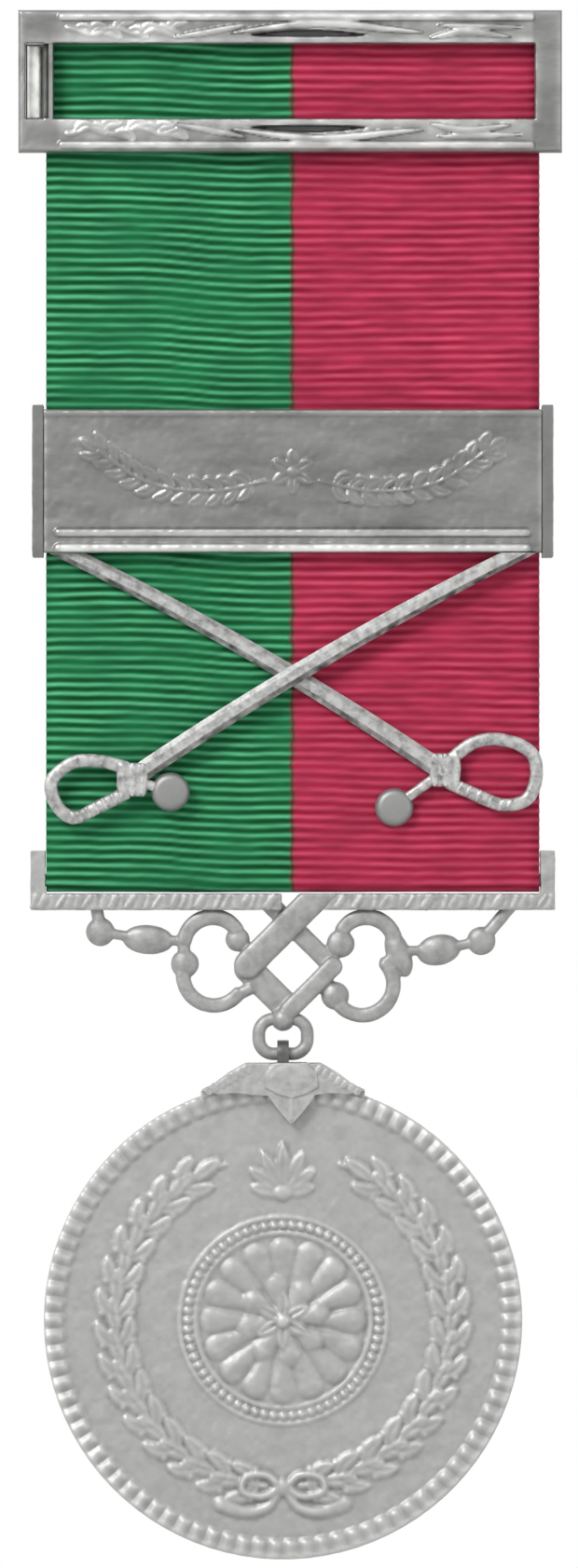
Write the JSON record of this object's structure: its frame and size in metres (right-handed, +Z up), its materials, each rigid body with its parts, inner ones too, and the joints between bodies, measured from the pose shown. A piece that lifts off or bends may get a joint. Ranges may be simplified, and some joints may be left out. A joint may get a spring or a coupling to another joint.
{
  "type": "military service medal",
  "caption": "Silver service medal: a struck disc on an openwork suspender, hung by a two-colour ribbon with a sliding clasp and crossed sabres from a pin-back brooch.",
  "frame": {"origin": "middle of the brooch pin's straight shank, on its axis", "axes": "+X to the right across the ribbon, +Z up, -Y out of the front of the medal"},
  "size_m": [0.042, 0.0059, 0.1199],
  "materials": {
    "cast_silver": "cast silver, satin, worn bright on the edges and darker in the hollows",
    "struck_silver": "struck silver, matt field with soft bright relief",
    "silver_wire": "drawn silver wire, polished by wear",
    "ribbon_cloth": "ribbed silk moire, left half green and right half crimson"
  },
  "bodies": {
    "brooch": {"brooch_frame": "cast_silver", "rod_lug_left": "cast_silver", "rod_lug_right": "cast_silver", "top_rod": "silver_wire", "hinge_ear_upper": "cast_silver", "hinge_ear_lower": "cast_silver", "hinge_wire": "silver_wire", "pin_catch": "cast_silver", "ribbon": "ribbon_cloth"},
    "pin": {"brooch_pin": "silver_wire"},
    "clasp": {"clasp_plate": "cast_silver", "clasp_sleeve": "cast_silver", "sabre_left": "cast_silver", "sabre_right": "cast_silver"},
    "suspender": {"suspender_frame": "cast_silver", "suspender_openwork": "cast_silver", "ribbon_rod": "silver_wire"},
    "link": {"suspension_link": "silver_wire"},
    "medal": {"medal_disc": "struck_silver", "medal_claw": "cast_silver", "claw_rivet": "silver_wire", "medal_eye": "silver_wire"}
  },
  "joints": [
    {"name": "pin_hinge", "type": "hinge", "parent": "brooch", "child": "pin", "pos_m": [-0.01975, -0.0027, 0], "axis": [0, 0, 1], "range_deg": [0, 90]},
    {"name": "clasp_slide", "type": "slide", "parent": "brooch", "child": "clasp", "axis": [0, 0, 1], "range_m": [-0.002, 0.018]},
    {"name": "suspender_swing", "type": "hinge", "parent": "brooch", "child": "suspender", "pos_m": [0, -0.0023, -0.0618], "axis": [1, 0, 0], "range_deg": [-60, 60]},
    {"name": "link_swing", "type": "hinge", "parent": "suspender", "child": "link", "pos_m": [-0.00055, -0.0023, -0.07255], "axis": [1, 0, 0], "range_deg": [-50, 50]},
    {"name": "medal_swing", "type": "hinge", "parent": "link", "child": "medal", "pos_m": [-0.00055, -0.0023, -0.07525], "axis": [1, 0, 0], "range_deg": [-60, 60]}
  ]
}
